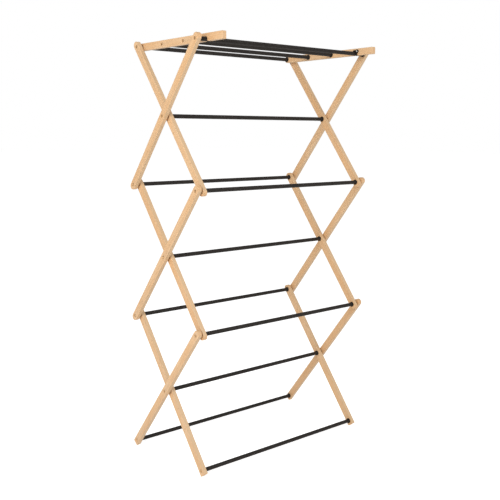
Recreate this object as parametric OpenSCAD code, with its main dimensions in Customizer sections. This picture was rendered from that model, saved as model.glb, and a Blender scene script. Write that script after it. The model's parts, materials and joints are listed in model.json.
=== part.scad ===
// Folding clothes drying rack. Two accordion side frames of bamboo slats carry black steel rods, and
// a top shelf hooks over the front top rod. The rods run along X, the front is -Y and Z is up.
// The rack is drawn standing open. Slats that lean to the front are the outer layer of each side
// frame, slats that lean to the rear are the inner layer, and the shelf arms are the layer inside them.

/* [Overall size] */
// Distance between the two end pivots of a slat
slat_pivots = 556; // [420:1:680]
// Lean of the slats from upright when the rack stands open, in degrees
open_lean = 37.7; // [30:0.1:42]
// Width over the outer faces of the two side frames
frame_w = 736; // [480:1:900]

/* [Slats] */
// Width of a slat, seen from the side of the rack
slat_w = 24; // [18:0.5:27]
// Thickness of a slat
slat_t = 14; // [10:0.5:19]
// Space between one layer of wood and the next
layer_gap = 6; // [4:0.5:10]
// Reach of a rounded slat end beyond its pivot
end_reach = 18; // [15:0.5:24]
// Reach of a foot end beyond its pivot
foot_reach = 15.5; // [12:0.5:24]
// Radius of the eased corners of the square-cut ends
corner_r = 2; // [1:0.5:4]

/* [Shelf] */
// Height of a shelf arm
arm_h = 23; // [22:0.5:32]
// Thickness of a shelf arm
arm_t = 14; // [10:0.5:19]
// Reach of the arms beyond the front top rod
arm_reach = 78; // [40:1:140]
// Height of the arm's middle line above the front top rod
arm_rise = 5.5; // [3:0.5:8]
// Slant of the notch's rear wall from upright, in degrees
notch_slant = 30; // [26:1:40]
// Width of the black catch plate around the rod
catch_rim = 4.5; // [3:0.5:6]
// Thickness of the black catch plate
catch_t = 4; // [2:0.5:6]

/* [Rods] */
// Outer diameter of the steel rods
rod_d = 13; // [10:0.5:16]
// Wall of the steel rods
rod_wall = 1; // [0.6:0.1:1.5]
// Diameter of the collar on a rod's end plug
collar_d = 18; // [17:0.5:21]
// Thickness of that collar
collar_t = 3; // [2:0.5:5]
// Length of the plug inside the rod
plug_len = 20; // [16:1:40]

/* [Screws] */
// Diameter of the screw shanks, which are also the pivot pins
screw_d = 5; // [4:0.5:6]
// Diameter of the screw heads
head_d = 8.4; // [7:0.2:10]
// Height of the screw heads
head_h = 2.4; // [1.8:0.2:3]
// Length of screw thread held in an end plug
thread_len = 14; // [8:1:15]
// Outer diameter of the spacers between the layers
spacer_d = 14; // [10:0.5:17]

/* [Clearances] */
// Radial clearance of a pivot pin in its hole
running_gap = 0.08; // [0.05:0.01:0.1]
// Radial clearance at the two middle crossings that are left open
open_gap = 0.4; // [0.3:0.05:0.6]
// Gap between faces that slide past each other
side_gap = 0.3; // [0.2:0.05:0.5]
// Gap between the front top rod and its notch
notch_gap = 0.5; // [0.4:0.1:1]
// Clearance of an end plug in its rod
plug_gap = 0.05; // [0.02:0.01:0.1]

/* [Hidden] */
bamboo = "burlywood";
bamboo_shade = "tan";
black = "#26221f";
steel = "silver";
$fn = 48;
tiny = 0.01; // keeps a cut from ending on a face, or from only touching one
cut = 1; // overrun of a drilled hole past the faces it goes through

tier_h = slat_pivots * cos(open_lean); // height of one tier, pivot to pivot
half_d = slat_pivots * sin(open_lean) / 2; // half the distance between front and rear pivots

// Distances of the layers from the outer face of a side frame
outer_in = slat_t; // inner face of the outer slats
inner_out = slat_t + layer_gap; // outer face of the inner slats
inner_in = inner_out + slat_t; // inner face of the inner slats
arm_out = inner_in + layer_gap; // outer face of the shelf arms
arm_in = arm_out + arm_t; // inner face of the shelf arms

// The origin is under the middle of the standing rack, on the floor
round_off = end_reach - slat_w / 2; // centre of a rounded end beyond its pivot
foot_drop = (foot_reach - corner_r) * cos(open_lean) + (slat_w / 2 - corner_r) * sin(open_lean) + corner_r;
foot_back = (foot_reach - corner_r) * sin(open_lean) + (slat_w / 2 - corner_r) * cos(open_lean) + corner_r;
arm_lift = asin(arm_rise / (2 * half_d)); // slope of the shelf arms
arm_rod = 2 * half_d * cos(arm_lift); // front top rod along the arm, from the rear pivot
arm_len = arm_rod + arm_reach; // arm's front end from the rear pivot
arm_front = (arm_len - corner_r) * cos(arm_lift) + (arm_h / 2 - corner_r) * sin(arm_lift) + corner_r;
shift_y = (arm_front - foot_back) / 2 - half_d; // middle of the side frames
front_y = shift_y - half_d; // front pivots
rear_y = shift_y + half_d; // rear pivots
foot_z = foot_drop; // lowest pivots
pocket_d = head_d + 4 * side_gap; // pocket around a screw head

function level(n) = foot_z + n * tier_h; // height of pivot level n, counted in tiers from the feet

// ---- placing ----

// Draws a left-hand piece, or its mirror image on the right
module on_side(side) {
    if (side == "left") children();
    else mirror([1, 0, 0]) children();
}

module on_both_sides() {
    on_side("left") children();
    on_side("right") children();
}

// Turns a flat outline into a board: the outline's x becomes Y, its y becomes Z, thickness runs in X
module board(depth, thick) {
    translate([-frame_w / 2 + depth, 0, 0])
        rotate([90, 0, 90])
            linear_extrude(height = thick) children();
}

// A cylinder along X from one depth to another, measured from the outer face of the left frame
module pin(d, from, to) {
    translate([-frame_w / 2 + from, 0, 0])
        rotate([0, 90, 0]) cylinder(d = d, h = to - from);
}

// ---- slats ----

module slat_outline(foot) {
    translate([0, slat_pivots + round_off]) circle(d = slat_w);
    if (foot) {
        low = -foot_reach;
        translate([-slat_w / 2, low + corner_r])
            square([slat_w, slat_pivots + round_off - low - corner_r]);
        translate([-slat_w / 2 + corner_r, low])
            square([slat_w - 2 * corner_r, 2 * corner_r]);
        for (s = [-1, 1])
            translate([s * (slat_w / 2 - corner_r), low + corner_r]) circle(r = corner_r);
    } else {
        translate([0, -round_off]) circle(d = slat_w);
        translate([-slat_w / 2, -round_off])
            square([slat_w, slat_pivots + 2 * round_off]);
    }
}

// One slat of the left frame. lean is +1 when its top leans to the front and -1 when to the rear.
// gaps and heads hold, for the lower, middle and upper pivot, the radial clearance of the hole and
// the depth of the screw head's pocket.
module slat(depth, lean, tier, foot, gaps, heads) {
    translate([0, lean > 0 ? rear_y : front_y, level(tier)])
        rotate([lean * open_lean, 0, 0])
            difference() {
                board(depth, slat_t) slat_outline(foot);
                for (i = [0:2])
                    translate([0, 0, i * slat_pivots / 2]) {
                        pin(screw_d + 2 * gaps[i], depth - cut, depth + slat_t + cut);
                        if (heads[i] > 0)
                            pin(pocket_d, depth - cut, depth + heads[i]);
                    }
            }
}

tight_head = head_h; // pocket of a screw that turns with the slat
loose_head = head_h + side_gap; // pocket of a screw that the slat turns on

module bottom_outer_slat(side) {
    color(bamboo) on_side(side)
        slat(0, 1, 0, true, [running_gap, running_gap, running_gap],
             [loose_head, loose_head, loose_head]);
}

module middle_outer_slat(side) {
    color(bamboo) on_side(side)
        slat(0, 1, 1, false, [running_gap, open_gap, running_gap],
             [loose_head, loose_head, loose_head]);
}

module top_outer_slat(side) {
    color(bamboo) on_side(side)
        slat(0, 1, 2, false, [running_gap, open_gap, 0], [loose_head, loose_head, tight_head]);
}

module bottom_inner_slat(side) {
    color(bamboo_shade) on_side(side)
        slat(inner_out, -1, 0, true, [0, 0, 0], [tight_head, 0, 0]);
}

module middle_inner_slat(side) {
    color(bamboo_shade) on_side(side)
        slat(inner_out, -1, 1, false, [0, 0, 0], [0, 0, 0]);
}

module top_inner_slat(side) {
    color(bamboo_shade) on_side(side)
        slat(inner_out, -1, 2, false, [0, 0, running_gap], [0, 0, loose_head]);
}

// ---- shelf arms ----

// Outline of an arm from its rear pivot at the origin, running to -x
module arm_outline() {
    circle(d = arm_h);
    translate([-arm_len + corner_r, -arm_h / 2]) square([arm_len - corner_r, arm_h]);
    translate([-arm_len, -arm_h / 2 + corner_r]) square([2 * corner_r, arm_h - 2 * corner_r]);
    for (s = [-1, 1])
        translate([-arm_len + corner_r, s * (arm_h / 2 - corner_r)]) circle(r = corner_r);
}

// The notch that drops over the front top rod, open below, with a slanted rear wall
module notch_outline() {
    r = rod_d / 2 + notch_gap;
    near = r - tiny; // the slanted wall crosses the round top instead of only touching it
    below = arm_h / 2 + r + catch_rim; // from the rod's axis to clear of the arm and its plate
    wall = (below + near * sin(notch_slant)) / cos(notch_slant);
    translate([-arm_rod, -arm_rise]) {
        circle(r = r);
        polygon([
            [-r, 0],
            [near * cos(notch_slant), near * sin(notch_slant)],
            [near * cos(notch_slant) + wall * sin(notch_slant), -below],
            [-r, -below]
        ]);
    }
}

// Places a piece of the shelf at the rear top pivot, with the arms' slope
module at_shelf() {
    translate([0, rear_y, level(3)])
        rotate([-arm_lift, 0, 0]) children();
}

shelf_rods = [1 / 3, 2 / 3]; // places of the two shelf rods between the pivot and the front top rod

// The catch plate's screw sits in front of the rod and above it
catch_screw_d = 3.5;
catch_head_d = 5.6;
catch_head_h = 1.6;
catch_screw_len = 11;
catch_boss_d = 12; // round ear of the plate around the screw
catch_reach = rod_d / 2 + notch_gap + catch_boss_d / 2; // from the rod's axis to the screw's
catch_rise = 35; // slope of the line from the rod to the screw, in degrees
catch_screw_y = -arm_rod - catch_reach * cos(catch_rise);
catch_screw_z = -arm_rise + catch_reach * sin(catch_rise);

module shelf_arm(side) {
    color(bamboo) on_side(side) at_shelf()
        difference() {
            board(arm_out, arm_t)
                difference() {
                    arm_outline();
                    notch_outline();
                }
            pin(screw_d + 2 * running_gap, arm_out - cut, arm_in + cut);
            for (k = shelf_rods)
                translate([0, -k * arm_rod, 0]) {
                    pin(screw_d, arm_out - cut, arm_in + cut);
                    pin(pocket_d, arm_out - cut, arm_out + tight_head);
                }
            translate([0, catch_screw_y, catch_screw_z])
                pin(catch_screw_d, arm_in + catch_t - catch_screw_len, arm_in + cut);
        }
}

// Black plate on the inner face of each arm, a hook around the rod with a screwed ear
module shelf_catch_plates() {
    color(black) on_both_sides() at_shelf()
        difference() {
            board(arm_in, catch_t)
                difference() {
                    union() {
                        translate([-arm_rod, -arm_rise]) circle(r = rod_d / 2 + notch_gap + catch_rim);
                        translate([catch_screw_y, catch_screw_z]) circle(d = catch_boss_d);
                    }
                    notch_outline();
                }
            translate([0, catch_screw_y, catch_screw_z])
                pin(catch_screw_d, arm_in - cut, arm_in + catch_t + cut);
        }
}

module catch_plate_screws() {
    color(steel) on_both_sides() at_shelf()
        translate([0, catch_screw_y, catch_screw_z]) {
            pin(catch_screw_d, arm_in + catch_t - catch_screw_len, arm_in + catch_t);
            pin(catch_head_d, arm_in + catch_t, arm_in + catch_t + catch_head_h);
        }
}

// ---- rods, end plugs, screws and spacers ----
// seat is the depth at which a rod's collars sit, measured from the outer face of the frame

seat_inner = inner_in; // collars against the inner slats
seat_outer = outer_in; // collars against the outer slats
seat_foot = outer_in + side_gap; // collars that the outer slats slide past
seat_arm = arm_in; // collars against the shelf arms
seat_pivot = arm_in + side_gap; // collars that the shelf arms slide past

module rod(seat) {
    color(black) difference() {
        pin(rod_d, seat + collar_t, frame_w - seat - collar_t);
        pin(rod_d - 2 * rod_wall, seat + collar_t - cut, frame_w - seat - collar_t + cut);
    }
}

// The end plug's collar has a chamfered outer edge
module end_plug(seat) {
    edge = collar_t / 4;
    color(black) translate([-frame_w / 2 + seat, 0, 0]) rotate([0, 90, 0])
        rotate_extrude()
            polygon([
                [screw_d / 2, 0],
                [collar_d / 2, 0],
                [collar_d / 2, collar_t - edge],
                [collar_d / 2 - edge, collar_t],
                [rod_d / 2 - rod_wall - plug_gap, collar_t],
                [rod_d / 2 - rod_wall - plug_gap, collar_t + plug_len],
                [screw_d / 2, collar_t + plug_len]
            ]);
}

socket_share = 0.36; // width of the hexagon socket as a share of the head

// A screw whose head ends flush with the wood at depth face and whose thread ends in the end plug
module screw(face, seat) {
    color(steel) difference() {
        union() {
            pin(head_d, face, face + head_h);
            pin(screw_d, face + head_h, seat + collar_t + thread_len);
        }
        pin(socket_share * head_d, face - cut, face + head_h / 2, $fn = 6);
    }
}

// A spacer on the screw, between two layers of wood
module spacer(from, to) {
    color(black) difference() {
        pin(spacer_d, from, to);
        pin(screw_d, from - cut, to + cut);
    }
}

// Pivot places as [y, level]
rear_foot = [rear_y, 0];
front_foot = [front_y, 0];
bottom_cross = [shift_y, 0.5];
lower_rear = [rear_y, 1];
lower_front = [front_y, 1];
middle_cross = [shift_y, 1.5];
upper_rear = [rear_y, 2];
upper_front = [front_y, 2];
top_cross = [shift_y, 2.5];
rear_top = [rear_y, 3];
front_top = [front_y, 3];

// Rods of each tier that turn with its inner slats, apart from those on one layer only
bottom_joints = [bottom_cross, lower_rear];
middle_joints = [lower_front, middle_cross, upper_rear];
top_joints = [upper_front, top_cross];

module at(places) {
    for (p = places) translate([0, p[0], level(p[1])]) children();
}

module at_shelf_rods() {
    for (k = shelf_rods) at_shelf() translate([0, -k * arm_rod, 0]) children();
}

module rear_foot_rod() { at([rear_foot]) rod(seat_foot); }
module front_foot_rod() { at([front_foot]) rod(seat_inner); }
module bottom_cross_rod() { at([bottom_cross]) rod(seat_inner); }
module lower_rear_rod() { at([lower_rear]) rod(seat_inner); }
module lower_front_rod() { at([lower_front]) rod(seat_inner); }
module middle_cross_rod() { at([middle_cross]) rod(seat_inner); }
module upper_rear_rod() { at([upper_rear]) rod(seat_inner); }
module upper_front_rod() { at([upper_front]) rod(seat_inner); }
module top_cross_rod() { at([top_cross]) rod(seat_inner); }
module front_top_rod() { at([front_top]) rod(seat_outer); }
module shelf_pivot_rod() { at([rear_top]) rod(seat_pivot); }
module shelf_rear_rod() { at_shelf() translate([0, -shelf_rods[0] * arm_rod, 0]) rod(seat_arm); }
module shelf_front_rod() { at_shelf() translate([0, -shelf_rods[1] * arm_rod, 0]) rod(seat_arm); }

module rear_foot_end_plugs() { on_both_sides() at([rear_foot]) end_plug(seat_foot); }
module bottom_frame_end_plugs() {
    on_both_sides() at(concat([front_foot], bottom_joints)) end_plug(seat_inner);
}
module middle_frame_end_plugs() { on_both_sides() at(middle_joints) end_plug(seat_inner); }
module top_frame_end_plugs() { on_both_sides() at(top_joints) end_plug(seat_inner); }
module front_top_end_plugs() { on_both_sides() at([front_top]) end_plug(seat_outer); }
module shelf_pivot_end_plugs() { on_both_sides() at([rear_top]) end_plug(seat_pivot); }
module shelf_rod_end_plugs() { on_both_sides() at_shelf_rods() end_plug(seat_arm); }

module rear_foot_screws() { on_both_sides() at([rear_foot]) screw(0, seat_foot); }
module bottom_frame_screws() {
    on_both_sides() {
        at([front_foot]) screw(inner_out, seat_inner);
        at(bottom_joints) screw(0, seat_inner);
    }
}
module middle_frame_screws() { on_both_sides() at(middle_joints) screw(0, seat_inner); }
module top_frame_screws() { on_both_sides() at(top_joints) screw(0, seat_inner); }
module front_top_screws() { on_both_sides() at([front_top]) screw(0, seat_outer); }
module shelf_pivot_screws() { on_both_sides() at([rear_top]) screw(inner_out, seat_pivot); }
module shelf_rod_screws() { on_both_sides() at_shelf_rods() screw(arm_out, seat_arm); }

module bottom_frame_spacers() {
    on_both_sides() at(bottom_joints) spacer(outer_in + side_gap, inner_out);
}
module middle_frame_spacers() {
    on_both_sides() at(middle_joints) spacer(outer_in + side_gap, inner_out);
}
module top_frame_spacers() {
    on_both_sides() at(top_joints) spacer(outer_in + side_gap, inner_out);
}
module shelf_pivot_spacers() {
    on_both_sides() at([rear_top]) spacer(inner_in + side_gap, arm_out - side_gap);
}

bottom_outer_slat("left");  // left_bottom_outer_slat
bottom_outer_slat("right");  // right_bottom_outer_slat
bottom_inner_slat("left");  // left_bottom_inner_slat
bottom_inner_slat("right");  // right_bottom_inner_slat
middle_outer_slat("left");  // left_middle_outer_slat
middle_outer_slat("right");  // right_middle_outer_slat
middle_inner_slat("left");  // left_middle_inner_slat
middle_inner_slat("right");  // right_middle_inner_slat
top_outer_slat("left");  // left_top_outer_slat
top_outer_slat("right");  // right_top_outer_slat
top_inner_slat("left");  // left_top_inner_slat
top_inner_slat("right");  // right_top_inner_slat
shelf_arm("left");  // left_shelf_arm
shelf_arm("right");  // right_shelf_arm
rear_foot_rod();
front_foot_rod();
bottom_cross_rod();
lower_rear_rod();
lower_front_rod();
middle_cross_rod();
upper_rear_rod();
upper_front_rod();
top_cross_rod();
front_top_rod();
shelf_pivot_rod();
shelf_rear_rod();
shelf_front_rod();
rear_foot_end_plugs();
bottom_frame_end_plugs();
middle_frame_end_plugs();
top_frame_end_plugs();
front_top_end_plugs();
shelf_pivot_end_plugs();
shelf_rod_end_plugs();
rear_foot_screws();
bottom_frame_screws();
middle_frame_screws();
top_frame_screws();
front_top_screws();
shelf_pivot_screws();
shelf_rod_screws();
bottom_frame_spacers();
middle_frame_spacers();
top_frame_spacers();
shelf_pivot_spacers();
shelf_catch_plates();
catch_plate_screws();
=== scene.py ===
import json
import math

import bmesh
import bpy
import numpy as np
from mathutils import Matrix, Vector
from mathutils.geometry import tessellate_polygon


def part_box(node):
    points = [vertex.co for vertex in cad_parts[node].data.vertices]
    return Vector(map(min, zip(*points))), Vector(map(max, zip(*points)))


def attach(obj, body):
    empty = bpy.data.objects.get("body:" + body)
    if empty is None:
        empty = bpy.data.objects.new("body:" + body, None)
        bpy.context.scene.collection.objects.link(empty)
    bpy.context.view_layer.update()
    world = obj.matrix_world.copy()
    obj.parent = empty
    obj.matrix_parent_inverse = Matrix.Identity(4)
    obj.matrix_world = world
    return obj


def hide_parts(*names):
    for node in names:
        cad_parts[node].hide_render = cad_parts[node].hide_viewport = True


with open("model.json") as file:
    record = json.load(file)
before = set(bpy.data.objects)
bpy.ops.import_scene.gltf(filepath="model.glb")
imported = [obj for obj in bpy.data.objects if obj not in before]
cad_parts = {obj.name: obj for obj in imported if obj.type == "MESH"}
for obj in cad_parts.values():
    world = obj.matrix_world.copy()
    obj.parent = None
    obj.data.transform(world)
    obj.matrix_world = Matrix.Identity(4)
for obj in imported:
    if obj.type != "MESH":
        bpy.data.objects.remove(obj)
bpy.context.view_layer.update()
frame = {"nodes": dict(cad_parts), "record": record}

cameraView = {
    "place": (-1.7563, -2.0094, 1.0842),  # metres, in the rack's own frame
    "turn": 40.63,   # degrees to the right of looking straight at the front
    "dip": 8.803,    # degrees below level
    "roll": 0.473,   # degrees that the right-hand side is lifted
    "lens": 56.68,
}


# Axes from the angles: forward = (sin turn cos dip, cos turn cos dip, -sin dip), right is level and at
# right angles to it, and the roll turns right and up about forward.
def makeCamera(view):
    turn, dip, roll = (math.radians(view[k]) for k in ("turn", "dip", "roll"))
    forward = Vector((math.sin(turn) * math.cos(dip), math.cos(turn) * math.cos(dip), -math.sin(dip)))
    level = Vector((math.cos(turn), -math.sin(turn), 0))
    upright = level.cross(forward)
    right = level * math.cos(roll) + upright * math.sin(roll)
    up = upright * math.cos(roll) - level * math.sin(roll)
    data = bpy.data.cameras.new("rackCamera")
    data.lens, data.sensor_width = view["lens"], 36
    data.clip_end = 200
    holder = bpy.data.objects.new("rackCamera", data)
    bpy.context.scene.collection.objects.link(holder)
    turned = Matrix((right, up, -forward)).transposed().to_4x4()
    holder.matrix_world = Matrix.Translation(view["place"]) @ turned
    bpy.context.scene.camera = holder


makeCamera(cameraView)


# Adds a shader node, with its settings, and a number or a link on each named or numbered input.
def put(tree, kind, values=None, **settings):
    made = tree.nodes.new("ShaderNode" + kind)
    for key, value in settings.items():
        setattr(made, key, value)
    for key, value in (values or {}).items():
        if isinstance(value, bpy.types.NodeSocket):
            tree.links.new(value, made.inputs[key])
        else:
            made.inputs[key].default_value = value
    return made


# One arithmetic step on numbers or links.
def calc(tree, operation, *values):
    return put(tree, "Math", dict(enumerate(values)), operation=operation).outputs[0]


# The vector with each part multiplied by its own scale.
def stretch(tree, vector, scale):
    return put(tree, "VectorMath", {0: vector, 1: scale}, operation="MULTIPLY").outputs[0]


# The value carried from low..high to toLow..toHigh, held at both ends.
def spread(tree, value, low, high, toLow=0.0, toHigh=1.0):
    return put(tree, "MapRange", {"Value": value, "From Min": low, "From Max": high,
                                  "To Min": toLow, "To Max": toHigh}).outputs[0]


# The first colour times (1 - factor), plus the second times factor.
def blendColours(tree, factor, first, second):
    mix = tree.nodes.new("ShaderNodeMix")
    mix.data_type = "RGBA"
    for socket, value in ((0, factor), (6, first), (7, second)):
        if isinstance(value, bpy.types.NodeSocket):
            tree.links.new(value, mix.inputs[socket])
        else:
            mix.inputs[socket].default_value = value
    return mix.outputs[2]


# A shader node group. inputs and outputs are {name: (socket type, value)}.
def newGroup(name, inputs, outputs):
    group = bpy.data.node_groups.new(name, "ShaderNodeTree")
    for label, (kind, value) in inputs.items():
        socket = group.interface.new_socket(label, in_out="INPUT", socket_type="NodeSocket" + kind)
        if value is not None:
            socket.default_value = value
    for label, kind in outputs.items():
        group.interface.new_socket(label, in_out="OUTPUT", socket_type="NodeSocket" + kind)
    return group, group.nodes.new("NodeGroupInput"), group.nodes.new("NodeGroupOutput")


def fillGroup(tree, group, values):
    return put(tree, "Group", values, node_tree=group).outputs


# Noise of each effect, and the range of it that becomes 0 to 1
noiseLook = {
    "coarse": {"Scale": 0.45, "Detail": 3.0, "Roughness": 0.55, "Distortion": 0.15},
    "fine": {"Scale": 1.7, "Detail": 4.0, "Roughness": 0.65},
    "rub": {"Detail": 5.0, "Roughness": 0.6},
    "peel": {"Detail": 2.0, "Roughness": 0.5},
    "cloud": {"Detail": 4.0, "Roughness": 0.55},
}
noiseRange = {"coarse": (0.33, 0.67), "fine": (0.3, 0.7), "rub": (0.35, 0.62), "peel": (0.3, 0.7),
              "cloud": (0.3, 0.7)}
leastRub = 0.25  # share of the rubbing that is left where it is thinnest


# Fibres: noise pulled out along the first axis, one coarse and one fine.
def makeStreaks():
    group, given, result = newGroup(
        "lengthwiseStreaks",
        {"Place": ("Vector", None), "Seed": ("Float", 0.0), "Length": ("Float", 0.09),
         "Width": ("Float", 0.0012)},
        {"Streak": "Float", "Fine": "Float"})
    perLength = calc(group, "DIVIDE", 1.0, given.outputs["Length"])
    perWidth = calc(group, "DIVIDE", 1.0, given.outputs["Width"])
    scale = put(group, "CombineXYZ", {0: perLength, 1: perWidth, 2: perWidth}).outputs[0]
    place = stretch(group, given.outputs["Place"], scale)
    seed = calc(group, "MULTIPLY", given.outputs["Seed"], 37.0)  # so that no two pieces share fibres
    for label, kind in (("Streak", "coarse"), ("Fine", "fine")):
        noise = put(group, "TexNoise", {"Vector": place, "W": seed, **noiseLook[kind]},
                    noise_dimensions="4D")
        group.links.new(spread(group, noise.outputs["Fac"], *noiseRange[kind]), result.inputs[label])
    return group


# Rubbed edges: the piece's own edge mask, broken up by noise.
def makeEdgeWear():
    group, given, result = newGroup(
        "edgeWear",
        {"Edge": ("Float", 0.0), "Vector": ("Vector", None), "Size": ("Float", 0.012),
         "Amount": ("Float", 0.5)},
        {"Worn": "Float"})
    scale = calc(group, "DIVIDE", 1.0, given.outputs["Size"])
    noise = put(group, "TexNoise", {"Vector": given.outputs["Vector"], "Scale": scale,
                                    **noiseLook["rub"]})
    broken = spread(group, noise.outputs["Fac"], *noiseRange["rub"], leastRub, 1.0)
    worn = calc(group, "MULTIPLY", calc(group, "MULTIPLY", broken, given.outputs["Edge"]),
                given.outputs["Amount"])
    group.links.new(worn, result.inputs["Worn"])
    return group


# Fine orange peel of paint or moulded plastic, and slow cloudy patches.
def makeSpeckle():
    group, given, result = newGroup(
        "fineSpeckle",
        {"Vector": ("Vector", None), "Grain": ("Float", 0.0006), "Patch": ("Float", 0.05)},
        {"Peel": "Float", "Cloud": "Float"})
    for label, size, kind in (("Peel", "Grain", "peel"), ("Cloud", "Patch", "cloud")):
        scale = calc(group, "DIVIDE", 1.0, given.outputs[size])
        noise = put(group, "TexNoise", {"Vector": given.outputs["Vector"], "Scale": scale,
                                        **noiseLook[kind]})
        group.links.new(spread(group, noise.outputs["Fac"], *noiseRange[kind]), result.inputs[label])
    return group


streaks, edgeWear, speckle = makeStreaks(), makeEdgeWear(), makeSpeckle()


def newMaterial(name):
    material = bpy.data.materials.new(name)
    material.use_nodes = True
    tree = material.node_tree
    return material, tree, tree.nodes["Principled BSDF"]


# A value that each point of the piece carries.
def attribute(tree, name, part):
    return put(tree, "Attribute", attribute_name=name).outputs[part]


# Laminated bamboo under satin lacquer. Strips side by side differ in tone, each strip has its own
# knuckles along its length, and fibres, blotches and short dark vessels run with the grain.
def makeBamboo(name, look):
    material, tree, shader = newMaterial(name)
    place = attribute(tree, "grainPlace", "Vector")
    seed = attribute(tree, "pieceSeed", "Fac")
    edge = attribute(tree, "edgeMask", "Fac")
    parts = put(tree, "SeparateXYZ", {0: place}).outputs
    # Strips across the width, and the seams between them
    across = calc(tree, "ADD", parts[1], look["halfWidth"])
    strip = calc(tree, "FLOOR", calc(tree, "DIVIDE", across, look["strip"]))
    key = put(tree, "CombineXYZ", {0: strip, 1: seed, 2: look["stripShuffle"]}).outputs[0]
    stripTone = put(tree, "TexWhiteNoise", {"Vector": key}, noise_dimensions="3D").outputs["Value"]
    seam = calc(tree, "PINGPONG", across, look["strip"] / 2)
    seamLine = spread(tree, seam, 0.0, look["seam"], 1.0, 0.0)
    # Knuckles, one row of them for each strip
    walk = calc(tree, "ADD", calc(tree, "DIVIDE", parts[0], look["knuckleGap"]),
                calc(tree, "MULTIPLY", stripTone, look["knuckleShuffle"]))
    wobble = put(tree, "TexNoise", {"Vector": place, **look["wobbleNoise"]}).outputs["Fac"]
    walk = calc(tree, "ADD", walk, calc(tree, "MULTIPLY", wobble, look["wobble"]))
    fromMiddle = calc(tree, "ABSOLUTE", calc(tree, "SUBTRACT", calc(tree, "FRACT", walk), 0.5))
    fromKnuckle = calc(tree, "MULTIPLY", fromMiddle, look["knuckleGap"])
    darkBand = spread(tree, fromKnuckle, *look["darkBand"], 1.0, 0.0)
    paleBand = spread(tree, fromKnuckle, *look["paleBand"], 1.0, 0.0)
    # Fibres, vessels and blotches
    fibre = fillGroup(tree, streaks, {"Place": place, "Seed": seed, "Length": look["fibreLength"],
                                      "Width": look["fibreWidth"]})
    vesselPlace = stretch(tree, place, [1 / size for size in look["vesselSize"]])
    vessel = put(tree, "TexVoronoi", {"Vector": vesselPlace, "Scale": 1.0, "Randomness": 1.0},
                 voronoi_dimensions="3D").outputs["Distance"]
    vesselLine = spread(tree, vessel, *look["vesselRange"], 1.0, 0.0)
    blotchPlace = stretch(tree, place, [1 / size for size in look["blotchSize"]])
    blotchSeed = calc(tree, "MULTIPLY", seed, look["blotchShuffle"])
    blotch = put(tree, "TexNoise", {"Vector": blotchPlace, "W": blotchSeed, "Scale": 1.0,
                                    "Detail": 2.0}, noise_dimensions="4D").outputs["Fac"]
    # Colour, each tone laid over the ones before it by its mask times its share
    colour = blendColours(tree, spread(tree, blotch, *look["blotchRange"]), look["pale"], look["honey"])
    for mask, share, tone in (
            (fibre["Streak"], "streakShare", "amber"), (stripTone, "stripShare", "amber"),
            (paleBand, "paleShare", "pale"), (darkBand, "knuckleShare", "brown"),
            (vesselLine, "vesselShare", "brown"), (fibre["Fine"], "fineShare", "brown"),
            (seamLine, "seamShare", "brown"),
            (attribute(tree, "pieceTone", "Fac"), "pieceShare", "amber")):
        colour = blendColours(tree, calc(tree, "MULTIPLY", mask, look[share]), colour, look[tone])
    # The narrow sides are less yellow, because they show the strips' sawn flanks
    onSide = spread(tree, calc(tree, "ABSOLUTE", parts[1]),
                    *(look["halfWidth"] - inset for inset in look["sideInset"]), 0.0, look["sideShare"])
    colour = blendColours(tree, onSide, colour, look["sideTone"])
    worn = fillGroup(tree, edgeWear, {"Edge": edge, "Vector": place, "Size": look["wearPatch"],
                                      "Amount": look["edgeShare"]})["Worn"]
    colour = blendColours(tree, worn, colour, look["edgeTone"])
    tree.links.new(colour, shader.inputs["Base Color"])
    # Lacquer: a little rougher on the fibres and along the eased edges
    rough = calc(tree, "ADD", spread(tree, fibre["Fine"], 0.0, 1.0, look["smooth"], look["rough"]),
                 calc(tree, "MULTIPLY", worn, look["wornRough"]))
    tree.links.new(rough, shader.inputs["Roughness"])
    dents = calc(tree, "ADD", calc(tree, "MULTIPLY", vesselLine, look["vesselDent"]),
                 calc(tree, "MULTIPLY", darkBand, look["knuckleDent"]))
    height = calc(tree, "SUBTRACT", calc(tree, "MULTIPLY", fibre["Fine"], look["fibreRise"]), dents)
    bump = put(tree, "Bump", {"Height": height, "Strength": look["relief"],
                              "Distance": look["depth"]})
    tree.links.new(bump.outputs[0], shader.inputs["Normal"])
    shader.inputs["Specular IOR Level"].default_value = look["specular"]
    shader.inputs["Coat Weight"].default_value = look["coat"]
    shader.inputs["Coat Roughness"].default_value = look["coatRough"]
    return material


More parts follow.
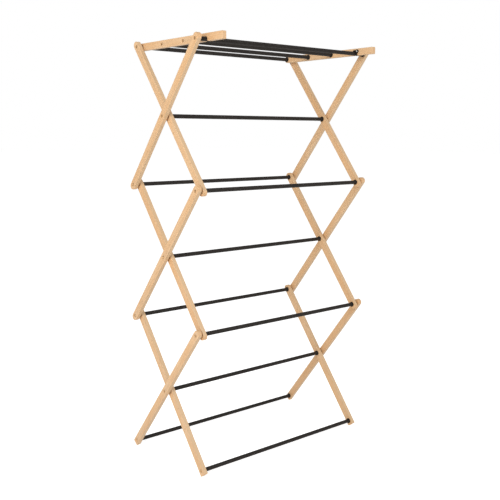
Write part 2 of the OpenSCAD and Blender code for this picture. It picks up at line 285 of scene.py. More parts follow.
# Sizes in metres along, across and through the board. The shares say how strongly each tone shows.
slatLook = {
    "halfWidth": 0.012, "strip": 0.006, "seam": 0.00035, "stripShuffle": 0.37,
    "knuckleGap": 0.231, "knuckleShuffle": 9.0, "darkBand": (0.0008, 0.0026),
    "paleBand": (0.003, 0.016), "wobble": 0.012, "wobbleNoise": {"Scale": 220.0, "Detail": 2.0},
    "fibreLength": 0.11, "fibreWidth": 0.0013,
    "vesselSize": (0.022, 0.0009, 0.0009), "vesselRange": (0.12, 0.3),
    "blotchSize": (0.085, 0.02, 0.02), "blotchRange": (0.36, 0.64), "blotchShuffle": 11.0,
    "pale": (0.775, 0.542, 0.328, 1), "honey": (0.735, 0.464, 0.244, 1),
    "amber": (0.655, 0.365, 0.157, 1), "brown": (0.34, 0.165, 0.06, 1),
    "edgeTone": (0.52, 0.335, 0.175, 1), "sideTone": (0.70, 0.50, 0.30, 1),
    "streakShare": 0.30, "stripShare": 0.26, "paleShare": 0.22, "knuckleShare": 0.42,
    "vesselShare": 0.16, "fineShare": 0.12, "seamShare": 0.25, "pieceShare": 0.5,
    "sideShare": 0.65, "sideInset": (0.0009, 0.0002), "edgeShare": 0.55, "wearPatch": 0.02,
    "smooth": 0.36, "rough": 0.5, "wornRough": 0.15, "specular": 0.42, "coat": 0.12,
    "coatRough": 0.3, "fibreRise": 0.5, "vesselDent": 0.5, "knuckleDent": 0.35,
    "relief": 0.35, "depth": 0.00012,
}
armLook = dict(slatLook, halfWidth=0.0115, strip=0.00575, knuckleGap=0.262, streakShare=0.26)


# Black satin powder coat: orange peel, cloudy sheen, a trace of dust and thinner paint on edges.
def makePaint(name, look):
    material, tree, shader = newMaterial(name)
    here = put(tree, "TexCoord").outputs["Object"]
    marks = fillGroup(tree, speckle, {"Vector": here, "Grain": look["grain"], "Patch": look["patch"]})
    edge = attribute(tree, "edgeMask", "Fac")
    worn = fillGroup(tree, edgeWear, {"Edge": edge, "Vector": here, "Size": look["wearPatch"],
                                      "Amount": look["wear"]})["Worn"]
    colour = blendColours(tree, marks["Cloud"], look["dark"], look["light"])
    dust = calc(tree, "MULTIPLY", marks["Peel"], look["dust"])
    colour = blendColours(tree, dust, colour, look["light"])
    colour = blendColours(tree, worn, colour, look["rubbed"])
    tree.links.new(colour, shader.inputs["Base Color"])
    rough = calc(tree, "ADD", spread(tree, marks["Cloud"], 0.0, 1.0, look["smooth"], look["rough"]),
                 calc(tree, "MULTIPLY", marks["Peel"], look["peelRough"]))
    tree.links.new(rough, shader.inputs["Roughness"])
    bump = put(tree, "Bump", {"Height": marks["Peel"], "Strength": look["relief"],
                              "Distance": look["depth"]})
    tree.links.new(bump.outputs[0], shader.inputs["Normal"])
    shader.inputs["Specular IOR Level"].default_value = look["specular"]
    return material


paintLook = {
    "grain": 0.0006, "patch": 0.09, "wear": 0.35, "wearPatch": 0.004, "dust": 0.3,
    "smooth": 0.36, "rough": 0.44, "peelRough": 0.05, "relief": 0.12, "depth": 0.0001,
    "specular": 0.11, "dark": (0.008, 0.0056, 0.0042, 1), "light": (0.0142, 0.0102, 0.0078, 1),
    "rubbed": (0.07, 0.065, 0.06, 1),
}
plasticLook = dict(
    paintLook, grain=0.0005, patch=0.02, wear=0.4, smooth=0.48, rough=0.6, relief=0.6, specular=0.14,
    dark=(0.006, 0.0042, 0.0033, 1), light=(0.011, 0.008, 0.0062, 1),
    rubbed=(0.06, 0.052, 0.046, 1))


# Plated steel with turning rings around the screw's axis and brighter worn edges.
def makeScrewSteel(name, look):
    material, tree, shader = newMaterial(name)
    here = put(tree, "TexCoord").outputs["Object"]
    marks = fillGroup(tree, speckle, {"Vector": here, "Grain": look["grain"], "Patch": look["patch"]})
    edge = attribute(tree, "edgeMask", "Fac")
    reach = attribute(tree, "fromAxis", "Fac")
    turned = calc(tree, "MULTIPLY", reach, look["ringsPerMetre"])
    rings = put(tree, "TexNoise", {"W": turned, "Scale": 1.0, "Detail": 2.0},
                noise_dimensions="1D").outputs["Fac"]
    worn = fillGroup(tree, edgeWear, {"Edge": edge, "Vector": here, "Size": look["wearPatch"],
                                      "Amount": look["wear"]})["Worn"]
    colour = blendColours(tree, marks["Cloud"], look["dull"], look["steel"])
    colour = blendColours(tree, worn, colour, look["bright"])
    tree.links.new(colour, shader.inputs["Base Color"])
    rough = spread(tree, rings, *look["ringRange"], look["smooth"], look["rough"])
    tree.links.new(rough, shader.inputs["Roughness"])
    bump = put(tree, "Bump", {"Height": calc(tree, "ADD", rings, marks["Peel"]),
                              "Strength": look["relief"], "Distance": look["depth"]})
    tree.links.new(bump.outputs[0], shader.inputs["Normal"])
    shader.inputs["Metallic"].default_value = 1.0
    return material


# The screws' steel is tinted warm brown: this is painted reflection of the bamboo around their heads.
screwLook = {
    "dull": (0.58, 0.36, 0.17, 1), "steel": (0.72, 0.48, 0.25, 1), "bright": (0.88, 0.68, 0.42, 1),
    "grain": 0.0004, "patch": 0.004, "ringsPerMetre": 5200.0, "ringRange": (0.3, 0.7),
    "wear": 0.7, "wearPatch": 0.002, "smooth": 0.34, "rough": 0.5, "relief": 0.3, "depth": 0.00005,
}
catchScrewLook = dict(screwLook, dull=(0.52, 0.50, 0.46, 1), steel=(0.68, 0.66, 0.62, 1),
                      bright=(0.85, 0.84, 0.8, 1), smooth=0.22, rough=0.34)

slatBamboo = makeBamboo("slatBamboo", slatLook)
armBamboo = makeBamboo("armBamboo", armLook)
blackPaint = makePaint("satinBlackPaint", paintLook)
blackPlastic = makePaint("mouldedBlackPlastic", plasticLook)
# The warm brown of the screws' steel is painted reflection of the surrounding bamboo.
screwSteel = makeScrewSteel("screwSteelWithPaintedWoodReflection", screwLook)
catchScrewSteel = makeScrewSteel("brightScrewSteel", catchScrewLook)
print("materials made")


# A closed outline from a polygon that runs anticlockwise. Each corner becomes an arc that touches both
# its sides: arc centre plus radius times a direction that turns evenly from one side's normal to the
# next side's. Returns the points and their outward normals.
def roundedOutline(corners, radii, steps):
    point, radius = np.array(corners, float), np.array(radii, float)
    arriving = point - np.roll(point, 1, 0)
    leaving = np.roll(point, -1, 0) - point
    arriving /= np.linalg.norm(arriving, axis=1)[:, None]
    leaving /= np.linalg.norm(leaving, axis=1)[:, None]
    bend = np.arctan2(arriving[:, 0] * leaving[:, 1] - arriving[:, 1] * leaving[:, 0],
                      (arriving * leaving).sum(1))
    side = np.stack([arriving[:, 1], -arriving[:, 0]], 1)
    signed = (radius * np.sign(bend))[:, None]
    centre = point - arriving * (radius * np.tan(np.abs(bend) / 2))[:, None] - side * signed
    angle = bend[:, None] * np.linspace(0, 1, steps)
    normal = np.stack([side[:, :1] * np.cos(angle) - side[:, 1:] * np.sin(angle),
                       side[:, :1] * np.sin(angle) + side[:, 1:] * np.cos(angle)], 2)
    return (centre[:, None] + normal * signed[:, None]).reshape(-1, 2), normal.reshape(-1, 2)


# Quads of a grid whose columns run round a ring. With closed, the last row joins the first.
def ringFaces(rows, columns, start=0, closed=False):
    row = np.arange(rows if closed else rows - 1)[:, None]
    column = np.arange(columns)[None]
    nextRow, nextColumn = (row + 1) % rows, (column + 1) % columns
    corners = [row * columns + column, row * columns + nextColumn,
               nextRow * columns + nextColumn, nextRow * columns + column]
    return start + np.stack(np.broadcast_arrays(*corners), 2).reshape(-1, 4)


# Triangles of a flat face inside its first loop and outside the others. loops are vertex numbers.
def capFaces(points, loops):
    numbers = np.concatenate(loops)
    rings = [[Vector((points[i, 0], points[i, 1], 0)) for i in loop] for loop in loops]
    return numbers[np.array(tessellate_polygon(rings))]


# Radius and depth down a hole's wall: a broken edge, the head's pocket if it has one, its floor, the
# bore, and a broken edge on the far side.
def holeProfile(hole, thickness):
    lip, bore = hole["lip"], hole["bore"]
    if hole.get("pocket"):
        pocket, deep = hole["pocket"], hole["deep"]
        rows = [(pocket + lip, 0), (pocket + lip * 0.3, lip * 0.3), (pocket, lip), (pocket, deep),
                (bore, deep)]
    else:
        rows = [(bore + lip, 0), (bore, lip)]
    return np.array(rows + [(bore, thickness - lip), (bore + lip, thickness)])


shoulderShare = 0.25  # width of a board's flat shoulder, over the radius of its eased edge
quarterSteps = 5      # points of an eased edge's quarter round


# A flat board. Its rim is a profile carried round the outline: flat shoulder, quarter round of radius
# ease, straight side, quarter round, flat shoulder. A point of it is outline - inset * normal at that
# profile's depth. Each hole is a profile turned about the hole's own axis. Two flat faces close it.
# Returns points as (along, across, depth), faces, which faces are flat, and the edge mask.
def plateSurface(outline, normals, thickness, ease, holes, holeSteps=40):
    shoulder, turns = ease * shoulderShare, np.linspace(0, np.pi / 2, quarterSteps)
    inset = np.concatenate([[ease + shoulder], ease * (1 - np.sin(turns)), [0]])
    depth = np.concatenate([[0], ease * (1 - np.cos(turns)), [ease + shoulder]])
    mask = np.array([0, 0.45, 1, 1, 1, 0.45, 0])
    inset, mask = np.concatenate([inset, inset[::-1]]), np.concatenate([mask, mask[::-1]])
    depth = np.concatenate([depth, thickness - depth[::-1]])
    flat = outline[None] - normals[None] * inset[:, None, None]
    rows, columns = flat.shape[:2]
    rim = np.concatenate([flat, np.broadcast_to(depth[:, None, None], (rows, columns, 1))], 2)
    points, masks = [rim.reshape(-1, 3)], [np.repeat(mask, columns)]
    faces = [ringFaces(rows, columns)]
    front, back = [np.arange(columns)], [np.arange(columns) + (rows - 1) * columns]
    count = rows * columns
    around = np.linspace(0, 2 * np.pi, holeSteps, endpoint=False)
    for hole in holes:
        wall = holeProfile(hole, thickness)
        radius, down = wall[:, :1], wall[:, 1:]
        ring = np.stack([hole["at"][0] + radius * np.cos(around),
                         hole["at"][1] + radius * np.sin(around),
                         np.broadcast_to(down, (len(wall), holeSteps))], 2)
        points.append(ring.reshape(-1, 3))
        masks.append(np.repeat(np.where(np.arange(len(wall)) == 1, 1.0, 0.0), holeSteps))
        faces.append(ringFaces(len(wall), holeSteps, count))
        front.append(np.arange(holeSteps) + count)
        count += len(wall) * holeSteps
        back.append(np.arange(holeSteps) + count - holeSteps)
    points = np.concatenate(points)
    caps = [capFaces(points, front), capFaces(points, back)]
    quads = np.concatenate(faces).tolist()
    flats = np.concatenate(caps).tolist()
    return points, quads + flats, [False] * len(quads) + [True] * len(flats), np.concatenate(masks)


# A profile (distance t, radius, edge mask) turned about a rod's axis: x = face + way t,
# y = radius cos u, z = way radius sin u, about the axis (y, z). bend may change the radius as a
# function of t and u. The surface is repeated at each place (face, way, y, z). Returns points, faces,
# edge mask and radius.
def turnedSurface(profile, places, steps, ring=True, bend=None):
    profile, places = np.array(profile, float), np.array(places, float)
    around = np.linspace(0, 2 * np.pi, steps, endpoint=False)
    along = profile[:, :1]
    radius = np.repeat(profile[:, 1:2], steps, 1)
    if bend:
        radius = bend(radius, along, around)
    face, way, y, z = (places[:, i, None, None] for i in range(4))
    grid = np.broadcast_arrays(face + way * along, y + radius * np.cos(around),
                               z + way * radius * np.sin(around))
    points = np.stack(grid, 3).reshape(-1, 3)
    one = ringFaces(len(profile), steps, 0, ring)
    faces = (one[None] + (np.arange(len(places)) * radius.size)[:, None, None]).reshape(-1, 4)
    mask = np.tile(np.repeat(profile[:, 2], steps), len(places))
    return points, faces.tolist(), mask, np.tile(radius.reshape(-1), len(places))


# Several surfaces as one: each one's faces count on from the points before it.
def joinSurfaces(surfaces):
    counts = np.cumsum([0] + [len(surface[0]) for surface in surfaces])
    faces = [[start + corner for corner in face] for surface, start in zip(surfaces, counts.tolist())
             for face in surface[1]]
    rest = [np.concatenate([surface[i] for surface in surfaces]) for i in range(2, len(surfaces[0]))]
    return [np.concatenate([surface[0] for surface in surfaces]), faces, *rest]


sharpAngle = 32       # degrees between two faces from which their shared edge stays sharp
mergeWithin = 1e-7    # metres between points that become one
shortestEdge = 1e-8   # metres, edges shorter than this are taken out


# Puts a surface into a mesh object at the origin, merges its seams and poles, and turns every face
# outwards. fields are point attributes for the material.
def makePiece(name, points, faces, material, fields, flats=None):
    mesh = bpy.data.meshes.new(name)
    mesh.from_pydata(points.tolist(), [], faces)
    for label, values in fields.items():
        values = np.asarray(values, np.float32)
        kind = "FLOAT_VECTOR" if values.ndim == 2 else "FLOAT"
        made = mesh.attributes.new(label, kind, "POINT")
        made.data.foreach_set("vector" if values.ndim == 2 else "value", values.reshape(-1))
    smooth = np.ones(len(faces), bool) if flats is None else ~np.array(flats)
    mesh.polygons.foreach_set("use_smooth", smooth)
    work = bmesh.new()
    work.from_mesh(mesh)
    bmesh.ops.remove_doubles(work, verts=work.verts, dist=mergeWithin)
    bmesh.ops.dissolve_degenerate(work, edges=work.edges, dist=shortestEdge)
    bmesh.ops.recalc_face_normals(work, faces=work.faces)
    work.to_mesh(mesh)
    work.free()
    mesh.set_sharp_from_angle(angle=math.radians(sharpAngle))
    mesh.materials.append(material)
    piece = bpy.data.objects.new(name, mesh)
    bpy.context.scene.collection.objects.link(piece)
    return piece


bodies = frame["record"]["behaviour"]["bodies"]
bodyOf = {node: body for body, nodes in bodies.items() for node in nodes}


# The piece rides with the node's body and stands for it.
def standFor(piece, node):
    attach(piece, bodyOf[node])
    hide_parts(node)


# Half the length of a rod, and its axis as (y, z).
def rodPlace(node):
    low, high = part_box(node)
    return high.x, np.array([(low.y + high.y) / 2, (low.z + high.z) / 2])


rods = {node: rodPlace(node) for node in frame["nodes"] if node.endswith("_rod")}
axisOf = {node: place for node, (half, place) in rods.items()}
layers = {"outer": "right_top_outer_slat", "inner": "right_top_inner_slat",
          "arm": "right_shelf_arm"}
# Distance of each layer's outer face from the middle plane
faceOf = {layer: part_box(node)[1].x for layer, node in layers.items()}
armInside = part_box("right_shelf_arm")[0].x
sides = {"left": -1, "right": 1}
fullRound = 0.999    # radius of a round end over half the board's width, just short of meeting
cornerSteps = 13     # points of each of a board's rounded corners

slatShape = {
    "width": 0.024, "ease": 0.0011, "endReach": 0.018,
    "footReach": 0.0155, "footCorner": 0.002,
    "bore": 0.0025, "pocket": 0.0048, "pocketDeep": 0.0027, "lip": 0.0003,
}

# Lower and upper rod of each slat, whether it is a foot, and which of its holes have a pocket
slatPlan = {
    "bottom_outer_slat": (("rear_foot_rod", "lower_front_rod"), True, (1, 1, 1)),
    "bottom_inner_slat": (("front_foot_rod", "lower_rear_rod"), True, (1, 0, 0)),
    "middle_outer_slat": (("lower_rear_rod", "upper_front_rod"), False, (1, 1, 1)),
    "middle_inner_slat": (("lower_front_rod", "upper_rear_rod"), False, (0, 0, 0)),
    "top_outer_slat": (("upper_rear_rod", "front_top_rod"), False, (1, 1, 1)),
    "top_inner_slat": (("upper_front_rod", "shelf_pivot_rod"), False, (0, 0, 1)),
}


# A hole at a point of the board, with a pocket for a screw's head or without.
def makeHole(shape, at, pocket):
    hole = {"at": at, "bore": shape["bore"], "lip": shape["lip"]}
    if pocket:
        hole.update(pocket=shape["pocket"], deep=shape["pocketDeep"])
    return hole


# Board points (along, across, depth) in the rack's frame: y and z are start plus along and across times
# the board's own directions, and x is the outer face plus depth inwards.
def placeBoard(points, start, along, face, inward):
    across = np.array([-along[1], along[0]])
    flat = start + points[:, :1] * along + points[:, 1:2] * across
    return np.column_stack([face + inward * points[:, 2], flat])


# A slat from its lower rod to its upper one, round at both ends or cut square at the foot. Its middle
# hole is halfway.
def makeSlat(side, kind, shape, seed, tone):
    rodsOnIt, foot, pockets = slatPlan[kind]
    node = f"{side}_{kind}"
    start, end = (axisOf[rod] for rod in rodsOnIt)
    length = np.linalg.norm(end - start)
    along = (end - start) / length
    half = shape["width"] / 2
    low = -shape["footReach"] if foot else -shape["endReach"]
    high = length + shape["endReach"]
    end = half * fullRound
    corner = shape["footCorner"] if foot else end
    outline, normals = roundedOutline(
        [(low, -half), (high, -half), (high, half), (low, half)], [corner, end, end, corner],
        cornerSteps)
    low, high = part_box(node)
    holes = [makeHole(shape, (length * step, 0.0), pocket)
             for step, pocket in zip((0, 0.5, 1), pockets)]
    points, faces, flats, mask = plateSurface(outline, normals, high.x - low.x, shape["ease"], holes)
    face, inward = (low.x, 1) if side == "left" else (high.x, -1)
    placed = placeBoard(points, start, along, face, inward)
    fields = {"grainPlace": points, "pieceSeed": np.full(len(points), seed), "edgeMask": mask,
              "pieceTone": np.full(len(points), tone)}
    piece = makePiece(f"{node}_bamboo", placed, faces, slatBamboo, fields, flats)
    standFor(piece, node)


# How far each slat's colour lies towards amber, from 0 to 1
slatTone = {
    "left": {"bottom_outer_slat": 0.15, "bottom_inner_slat": 0.1, "middle_outer_slat": 0.15,
             "middle_inner_slat": 0.75, "top_outer_slat": 0.3, "top_inner_slat": 0.2},
    "right": {"bottom_outer_slat": 0.7, "bottom_inner_slat": 0.25, "middle_outer_slat": 0.35,
              "middle_inner_slat": 0.75, "top_outer_slat": 0.0, "top_inner_slat": 0.65},
}
seeds = np.random.default_rng(7).permutation(40) / 40
count = 0
for side in ("left", "right"):
    for kind in slatPlan:
        makeSlat(side, kind, slatShape, float(seeds[count]), slatTone[side][kind])
        count += 1
print("slats made:", count)

armShape = {
    "height": 0.023, "ease": 0.0009, "tone": 0.15, "frontReach": 0.078, "frontCorner": 0.002,
    "rise": 0.0055, "notch": 0.007, "slant": 30.0, "mouth": 0.0012,
    "bore": 0.0025, "pocket": 0.0048, "pocketDeep": 0.0024, "lip": 0.0003,
}


# The arms run from the rear pivot to the front and up, so that at the front top rod their middle line
# is one rise above the rod's axis.
def armAxes(shape):
    pivot, rod = axisOf["shelf_pivot_rod"], axisOf["front_top_rod"]
    apart = pivot[0] - rod[0]
    lift = math.asin(shape["rise"] / apart)
    return pivot, np.array([-math.cos(lift), math.sin(lift)]), apart * math.cos(lift)


# A shelf arm, round at the pivot and square in front. Its notch is open below: an arch round the rod,
# an upright front wall and a slanting rear wall.
def makeArm(side, shape, seed):
    node = f"{side}_shelf_arm"
    pivot, along, toRod = armAxes(shape)
    half, notch, slant = shape["height"] / 2, shape["notch"], math.radians(shape["slant"])
    # Board coordinates run along the arm from the pivot, and across it downwards, so the rod is at
    # (toRod, rise)
    low, front = -half, toRod + shape["frontReach"]
    wall = toRod + notch
    apex = shape["rise"] - notch / math.tan(slant / 2)  # where the notch's two walls would meet
    reach = (half - apex) * math.tan(slant)
    corners = [(low, -half), (front, -half), (front, half), (wall, half), (wall, apex),
               (wall - reach, half), (low, half)]
    radii = [half * fullRound, shape["frontCorner"], shape["frontCorner"], shape["mouth"], notch,
             shape["mouth"], half * fullRound]
    outline, normals = roundedOutline(corners, radii, cornerSteps)
    low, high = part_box(node)
    holes = [makeHole(shape, (0.0, 0.0), False)]
    holes += [makeHole(shape, (toRod * share, 0.0), True) for share in (1 / 3, 2 / 3)]
    points, faces, flats, mask = plateSurface(outline, normals, high.x - low.x, shape["ease"], holes)
    face, inward = (low.x, 1) if side == "left" else (high.x, -1)
    placed = placeBoard(points, pivot, along, face, inward)
    fields = {"grainPlace": points, "pieceSeed": np.full(len(points), seed), "edgeMask": mask,
              "pieceTone": np.full(len(points), shape["tone"])}
    piece = makePiece(f"{node}_bamboo", placed, faces, armBamboo, fields, flats)
    standFor(piece, node)


for side in ("left", "right"):
    makeArm(side, armShape, float(seeds[count]))
    count += 1
print("shelf arms made")

catchShape = {
    "rim": 0.0045, "ear": 0.006, "earRise": 35.0, "thick": 0.004, "ease": 0.0005, "bore": 0.0028,
    "boreLip": 0.0002, "outsideSteps": 240, "archSteps": 60, "spacing": 0.0003, "soften": 5,
}


# Points along a closed line at an even spacing, each averaged with its neighbours, which rounds the
# corners. The normal is the line's own direction turned a quarter clockwise.
def softenedOutline(line, spacing, neighbours):
    line = np.vstack([line, line[:1]])
    run = np.concatenate([[0], np.cumsum(np.linalg.norm(np.diff(line, axis=0), axis=1))])
    at = np.arange(0, run[-1], run[-1] / round(run[-1] / spacing))
    even = np.column_stack([np.interp(at, run, line[:, i]) for i in range(2)])
    shifts = range(-neighbours, neighbours + 1)
    even = np.mean([np.roll(even, shift, 0) for shift in shifts], 0)
    along = np.roll(even, -1, 0) - np.roll(even, 1, 0)
    along /= np.linalg.norm(along, axis=1)[:, None]
    return even, np.column_stack([along[:, 1], -along[:, 0]])


# A hook round the front top rod with a screwed ear. About the rod's axis its outer edge is at the
# larger of the rim's radius and the far side of the ear's circle, c.d + sqrt(ear^2 - c.c + (c.d)^2) in
# direction d. Its inner edge is the notch's outline.
def catchOutline(arm, shape):
    notch, slant = arm["notch"], math.radians(arm["slant"])
    rim = notch + shape["rim"]
    lift = math.radians(shape["earRise"])
    ear = (notch + shape["ear"]) * np.array([math.cos(lift), -math.sin(lift)])
    beyond = math.sqrt(rim ** 2 - notch ** 2)
    wallEnd = np.array([notch, beyond])  # front wall of the notch, where it meets the rim
    top = np.array([-math.cos(slant), -math.sin(slant)]) * notch
    slantEnd = top + beyond * np.array([-math.sin(slant), math.cos(slant)])
    first = math.atan2(slantEnd[1], slantEnd[0]) - 2 * math.pi
    turn = np.linspace(math.atan2(wallEnd[1], wallEnd[0]), first, shape["outsideSteps"])
    way = np.column_stack([np.cos(turn), np.sin(turn)])
    reach = way @ ear
    inside = shape["ear"] ** 2 - ear @ ear + reach ** 2
    edge = np.maximum(rim, np.where(inside > 0, reach + np.sqrt(np.maximum(inside, 0)), 0))
    outside = way * edge[:, None]
    arch = np.linspace(math.pi + slant, 2 * math.pi, shape["archSteps"])
    inner = np.column_stack([np.cos(arch), np.sin(arch)]) * notch
    line = np.vstack([outside, slantEnd[None], inner, wallEnd[None]])
    line, normals = softenedOutline(line[::-1], shape["spacing"], shape["soften"])
    return line, normals, ear


# Both arms' catch plates, on the arms' inner faces. Returns the place (y, z) of their screws.
def makeCatchPlates(arm, shape):
    pivot, along, toRod = armAxes(arm)
    line, normals, ear = catchOutline(arm, shape)
    centre = np.array([toRod, arm["rise"]])
    hole = {"at": centre + ear, "bore": shape["bore"] - shape["boreLip"], "lip": shape["boreLip"]}
    points, faces, flats, mask = plateSurface(line + centre, normals, shape["thick"], shape["ease"],
                                              [hole])
    both = [(placeBoard(points, pivot, along, way * armInside, -way), faces, flats, mask)
            for way in sides.values()]
    placed, faces, flats, mask = joinSurfaces(both)
    piece = makePiece("catch_plates_moulded", placed, faces, blackPlastic, {"edgeMask": mask}, flats)
    standFor(piece, "shelf_catch_plates")
    return pivot + (centre + ear) @ np.array([along, [-along[1], along[0]]])


catchScrewAt = makeCatchPlates(armShape, catchShape)
print("catch plates made")

rodShape = {"radius": 0.0065, "wall": 0.001, "round": 0.0004}
turnSteps = 64     # points round a rod, a plug or a spacer
leastRound = 1e-6  # metres, the rounding of a corner that stays sharp


# A closed profile whose corners are rounded, with an edge mask that is 1 on the rounded ones.
def roundedProfile(corners, rounds):
    line, _ = roundedOutline(corners, np.maximum(rounds, leastRound), quarterSteps)
    worn = np.repeat(np.array(rounds) > 0, quarterSteps).astype(float)
    return np.column_stack([line, worn])


# A tube whose ends are rounded over: the wall's outline, turned about the rod's axis.
def makeRod(node, shape):
    half, place = rods[node]
    outer, inner = shape["radius"], shape["radius"] - shape["wall"]
    profile = roundedProfile([(0, inner), (2 * half, inner), (2 * half, outer), (0, outer)],
                             [shape["round"]] * 4)
    points, faces, mask, _ = turnedSurface(profile, [(-half, 1, *place)], turnSteps)
    piece = makePiece(f"{node}_tube", points, faces, blackPaint, {"edgeMask": mask})
    standFor(piece, node)


for node in rods:
    makeRod(node, rodShape)
print("rods made:", len(rods))

# The layer that each rod's screw heads lie in, for each moving frame
screwPlan = {
    "rear_foot": {"rear_foot_rod": "outer"},
    "bottom_frame": {"front_foot_rod": "inner", "bottom_cross_rod": "outer",
                     "lower_rear_rod": "outer"},
    "middle_frame": {"lower_front_rod": "outer", "middle_cross_rod": "outer",
                     "upper_rear_rod": "outer"},
    "top_frame": {"upper_front_rod": "outer", "top_cross_rod": "outer"},
    "front_top": {"front_top_rod": "outer"},
    "shelf_pivot": {"shelf_pivot_rod": "inner"},
    "shelf_rod": {"shelf_rear_rod": "arm", "shelf_front_rod": "arm"},
}
plugShape = {
    "collar": 0.009, "collarThick": 0.003, "chamfer": 0.0009, "body": 0.00545, "length": 0.02,
    "bore": 0.0025, "round": 0.0004, "ribs": 8, "ribDepth": 0.0004,
}
screwShape = {
    "head": 0.0042, "headThick": 0.0024, "dome": 0.0004, "socket": 0.0015, "socketDeep": 0.0012,
    "shank": 0.0025, "thread": 0.014, "pitch": 0.00125, "threadDeep": 0.00035,
}
spacerShape = {"radius": 0.007, "bore": 0.0025, "round": 0.0006, "slide": 0.0003}
catchScrewShape = {
    "head": 0.0028, "headThick": 0.0016, "dome": 0.0007, "socket": 0.001, "socketDeep": 0.0009,
    "shank": 0.00175, "length": 0.0126, "thread": 0.008, "pitch": 0.001, "threadDeep": 0.0003,
}


# Places (face, way, y, z) of a fitting at both ends of a rod, x from the middle plane outwards.
def atBothEnds(node, out):
    return [(way * out, -way, *axisOf[node]) for way in sides.values()]


# A collar with a chamfer against the rod, and a body inside it whose ribs make the radius swing with
# the angle: body - half the rib's depth (1 - cos(ribs u)).
def makePlugs(group, shape):
    collar, thick, body, bore = (shape[k] for k in ("collar", "collarThick", "body", "bore"))
    end, cut, turn = thick + shape["length"], shape["chamfer"], shape["round"]
    corners = [(0, bore), (end, bore), (end, body), (thick, body), (thick, collar - cut),
               (thick - cut, collar), (0, collar)]
    profile = roundedProfile(corners, [turn, turn, turn, 0, turn / 2, turn / 2, turn])

    # Past the collar, and nearer to the body's surface than to the bore's
    def ribs(radius, along, around):
        inBody = (along > thick * 1.001) & (radius > bore * 1.5)
        return radius - inBody * shape["ribDepth"] / 2 * (1 - np.cos(shape["ribs"] * around))

    places = [place for node in screwPlan[group]
              for place in atBothEnds(node, rods[node][0] + thick)]
    points, faces, mask, _ = turnedSurface(profile, places, turnSteps, bend=ribs)
    piece = makePiece(f"{group}_plugs_moulded", points, faces, blackPlastic, {"edgeMask": mask})
    standFor(piece, f"{group}_end_plugs")


screwSteps = 36       # points round a screw
domeRows = 7          # rows of a screw head's dome
threadRows = 6        # rows in one turn of a thread
screwEase = 0.0002    # eased edges of a head and its socket
tipLength = 0.001     # end of a screw that has no thread
taperLength = 0.0008  # end of a screw that narrows to its point


# A flat-domed head with a hexagon socket, a shank and a thread. The socket's radius is its half width
# over the cosine of the angle from the middle of its side. The thread's is the shank's less its depth
# times |2 frac(t / pitch - u / 2 pi) - 1|, fading in over its first turns.
def screwSurface(shape, length, places):
    head, thick, socket, shank = (shape[k] for k in ("head", "headThick", "socket", "shank"))
    dome, pitch = shape["dome"], shape["pitch"]
    rise = np.linspace(0, 1, domeRows)
    innerRing, outerRing = socket * 1.25, head * 0.93
    crown = np.column_stack([dome * rise ** 2, innerRing + (outerRing - innerRing) * rise, rise * 0])
    start = length - shape["thread"]
    rows = np.arange(start, length - tipLength, pitch / threadRows)
    thread = np.column_stack([rows, rows * 0 + shank, rows * 0 + 0.3])
    profile = np.vstack([
        [(shape["socketDeep"], 0, 0), (shape["socketDeep"], socket, 0), (screwEase, socket, 1),
         (0.00003, socket * 1.12, 1)],
        crown,
        [(dome + screwEase / 2, head * 0.985, 1), (dome + screwEase * 1.5, head, 1),
         (thick - screwEase, head, 1), (thick, head - screwEase, 1), (thick, shank, 0)],
        thread,
        [(length - taperLength, shank * 0.8, 0), (length, shank * 0.45, 0), (length, 0, 0)],
    ])

    def cut(radius, along, around):
        sector = np.mod(around, np.pi / 3) - np.pi / 6
        radius = radius.copy()
        radius[1:4] /= np.cos(sector) ** np.array([1, 1, 0.6])[:, None]
        onThread = along < length - (tipLength + taperLength) / 2
        fade = np.clip((along - start) / (2 * pitch), 0, 1) * onThread
        wave = np.abs(2 * np.mod(along / pitch - around / (2 * np.pi), 1) - 1)
        return radius - fade * shape["threadDeep"] * wave

    return turnedSurface(profile, places, screwSteps, False, cut)


# A frame's screws, each from the face of its layer into its rod's plug by the thread's length.
def makeScrews(group, shape):
    made = []
    for node, layer in screwPlan[group].items():
        face = faceOf[layer]
        length = face - rods[node][0] + shape["thread"]
        made.append(screwSurface(shape, length, atBothEnds(node, face)))
    points, faces, mask, reach = joinSurfaces(made)
    fields = {"edgeMask": mask, "fromAxis": reach}
    piece = makePiece(f"{group}_screws_steel", points, faces, screwSteel, fields)
    standFor(piece, f"{group}_screws")


# A ring with rounded edges on each screw between two layers of wood.
def makeSpacers(group, shape):
    node = f"{group}_spacers"
    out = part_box(node)[1].x
    inside = faceOf["inner"] if group != "shelf_pivot" else faceOf["arm"] + shape["slide"]
    thick = out - inside
    bore, outer, turn = shape["bore"], shape["radius"], shape["round"]
    profile = roundedProfile([(0, bore), (thick, bore), (thick, outer), (0, outer)],
                             [turn / 2, turn / 2, turn, turn])
    held = [rod for rod in screwPlan[group] if rod != "front_foot_rod"]
    places = [place for rod in held for place in atBothEnds(rod, out)]
    points, faces, mask, _ = turnedSurface(profile, places, turnSteps)
    piece = makePiece(f"{group}_spacers_moulded", points, faces, blackPlastic, {"edgeMask": mask})
    standFor(piece, node)


for group in screwPlan:
    makePlugs(group, plugShape)
    makeScrews(group, screwShape)
    if f"{group}_spacers" in frame["nodes"]:
        makeSpacers(group, spacerShape)
print("plugs, screws and spacers made")


# The catch plates' screws, whose heads stand on the plates and point outwards into the arms.
def makeCatchScrews(shape, plate, at):
    face = armInside - plate["thick"] - shape["headThick"]
    places = [(way * face, way, *at) for way in sides.values()]
    points, faces, mask, reach = screwSurface(shape, shape["length"], places)
    fields = {"edgeMask": mask, "fromAxis": reach}
    piece = makePiece("catch_plate_screws_steel", points, faces, catchScrewSteel, fields)
    standFor(piece, "catch_plate_screws")


makeCatchScrews(catchScrewShape, catchShape, catchScrewAt)
print("catch plate screws made")

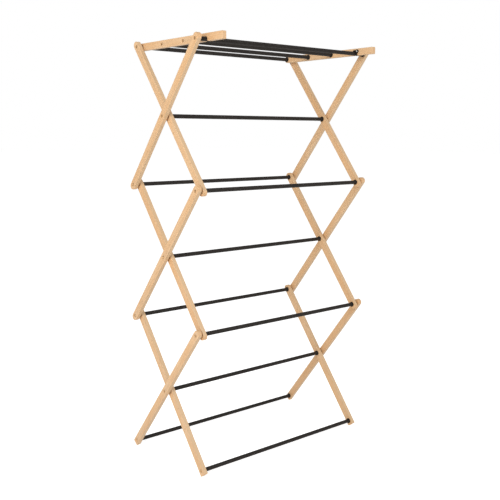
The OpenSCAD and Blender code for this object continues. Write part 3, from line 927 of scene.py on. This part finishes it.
stageLook = {
    "size": 60.0, "tone": (0.9, 0.9, 0.9, 1), "mottle": (0.8865, 0.8865, 0.8865, 1), "grain": 0.01,
    "patch": 0.6, "rough": 0.9, "specular": 0.1, "glow": 0.75, "bounce": 0.2, "sky": 0.43,
    "backdrop": 1.0,
}


# A pale floor that glows white to the eye and gives off much less light.
def makeFloor(look):
    half = look["size"] / 2
    corners = [(-half, -half, 0), (half, -half, 0), (half, half, 0), (-half, half, 0)]
    mesh = bpy.data.meshes.new("paleFloor")
    mesh.from_pydata(corners, [], [(0, 1, 2, 3)])
    material, tree, shader = newMaterial("paleFloor")
    here = put(tree, "TexCoord").outputs["Object"]
    marks = fillGroup(tree, speckle, {"Vector": here, "Grain": look["grain"], "Patch": look["patch"]})
    colour = blendColours(tree, marks["Cloud"], look["tone"], look["mottle"])
    tree.links.new(colour, shader.inputs["Base Color"])
    shader.inputs["Roughness"].default_value = look["rough"]
    shader.inputs["Emission Color"].default_value = look["tone"]
    seen = put(tree, "LightPath").outputs["Is Camera Ray"]
    tree.links.new(spread(tree, seen, 0.0, 1.0, look["bounce"], look["glow"]),
                   shader.inputs["Emission Strength"])
    shader.inputs["Specular IOR Level"].default_value = look["specular"]
    mesh.materials.append(material)
    floor = bpy.data.objects.new("paleFloor", mesh)
    bpy.context.scene.collection.objects.link(floor)


makeFloor(stageLook)

lamps = {
    "keyLeft": {"place": (-3.4, -1.6, 2.3), "aim": (0, 0, 0.75), "size": 2.4, "power": 101},
    "fillFront": {"place": (1.2, -3.6, 3.4), "aim": (0, 0, 0.7), "size": 3.0, "power": 55},
}


# A round lamp at its place, turned to face its aim.
def makeLamp(name, look):
    data = bpy.data.lights.new(name, "AREA")
    data.shape, data.size, data.energy = "DISK", look["size"], look["power"]
    lamp = bpy.data.objects.new(name, data)
    place, aim = Vector(look["place"]), Vector(look["aim"])
    facing = (aim - place).to_track_quat("-Z", "Y")
    lamp.matrix_world = Matrix.Translation(place) @ facing.to_matrix().to_4x4()
    bpy.context.scene.collection.objects.link(lamp)


for name, look in lamps.items():
    makeLamp(name, look)


# White behind the rack, and a dimmer even light on it.
def makeSky(look):
    world = bpy.data.worlds.new("softSky")
    world.use_nodes = True
    tree = world.node_tree
    seen = put(tree, "LightPath").outputs["Is Camera Ray"]
    tree.links.new(spread(tree, seen, 0.0, 1.0, look["sky"], look["backdrop"]),
                   tree.nodes["Background"].inputs["Strength"])
    tree.nodes["Background"].inputs["Color"].default_value = (1, 1, 1, 1)
    bpy.context.scene.world = world


makeSky(stageLook)
bpy.context.scene.view_settings.view_transform = "Standard"
print("floor and lights set")
